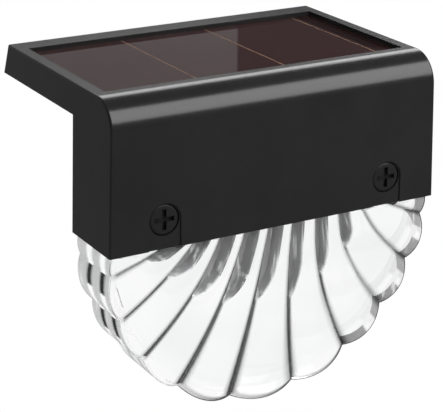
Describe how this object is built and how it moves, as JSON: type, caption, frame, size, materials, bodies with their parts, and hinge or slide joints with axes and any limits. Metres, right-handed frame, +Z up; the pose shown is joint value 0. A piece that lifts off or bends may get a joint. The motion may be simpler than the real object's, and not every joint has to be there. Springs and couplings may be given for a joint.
{
  "type": "solar fence light",
  "caption": "Solar light that hooks over a fence rail: black inverted-L housing with a panel on top, a clear scallop-shell lens below and screws through the front.",
  "frame": {"origin": "midway between the two mounting screws, on the flat rear face that lies against the fence", "axes": "+X to the right as seen from the front and along the longest side, +Y out of the rear face into the fence, +Z up; the front of the light faces -Y"},
  "size_m": [0.11, 0.0747, 0.1035],
  "materials": {
    "housing": "matte black moulded plastic, faint grain",
    "cover": "matte black moulded plastic",
    "seal": "soft black sealing rubber",
    "small_screws": "zinc-plated steel",
    "adhesive": "grey-white bonding tape",
    "panel_board": "green-black laminate",
    "solar_cells": "dark brown-violet amorphous cells",
    "gold_lines": "thin gold contact lines",
    "panel_top": "clear smooth sheet",
    "clear_lens": "clear moulded acrylic",
    "deck": "white reflective plastic",
    "circuit_board": "green laminate",
    "led": "white body with a pale yellow lamp",
    "cell_sleeve": "plain green sleeve",
    "holder": "black plastic",
    "spring_steel": "nickel-plated spring steel",
    "board_parts": "black moulded parts",
    "switch": "black switch plastic",
    "button": "soft black button",
    "black_screws": "black-coated steel",
    "wire_sleeve": "red wire insulation"
  },
  "bodies": {
    "body": {"housing": "housing", "rear_cover": "cover", "cover_gasket": "seal", "cover_screws": "small_screws", "panel_adhesive": "adhesive", "panel_backing": "panel_board", "solar_cells": "solar_cells", "cell_lines": "gold_lines", "panel_top": "panel_top", "clear_lens": "clear_lens", "lens_gasket": "seal", "light_deck": "deck", "led_board": "circuit_board", "leds": "led", "battery_cell": "cell_sleeve", "battery_holder": "holder", "contact_plate": "spring_steel", "contact_spring": "spring_steel", "control_board": "circuit_board", "board_parts": "board_parts", "board_screws": "small_screws", "switch_body": "switch", "mounting_screws": "black_screws", "panel_wires": "wire_sleeve", "battery_wires": "wire_sleeve", "led_wires": "wire_sleeve"},
    "button": {"power_button": "button", "switch_plunger": "switch"}
  },
  "joints": [
    {"name": "power_press", "type": "slide", "parent": "body", "child": "button", "axis": [0, -1, 0], "range_m": [0, 0.0012], "stiffness_N_per_m": 400, "springref_m": -0.0005}
  ]
}
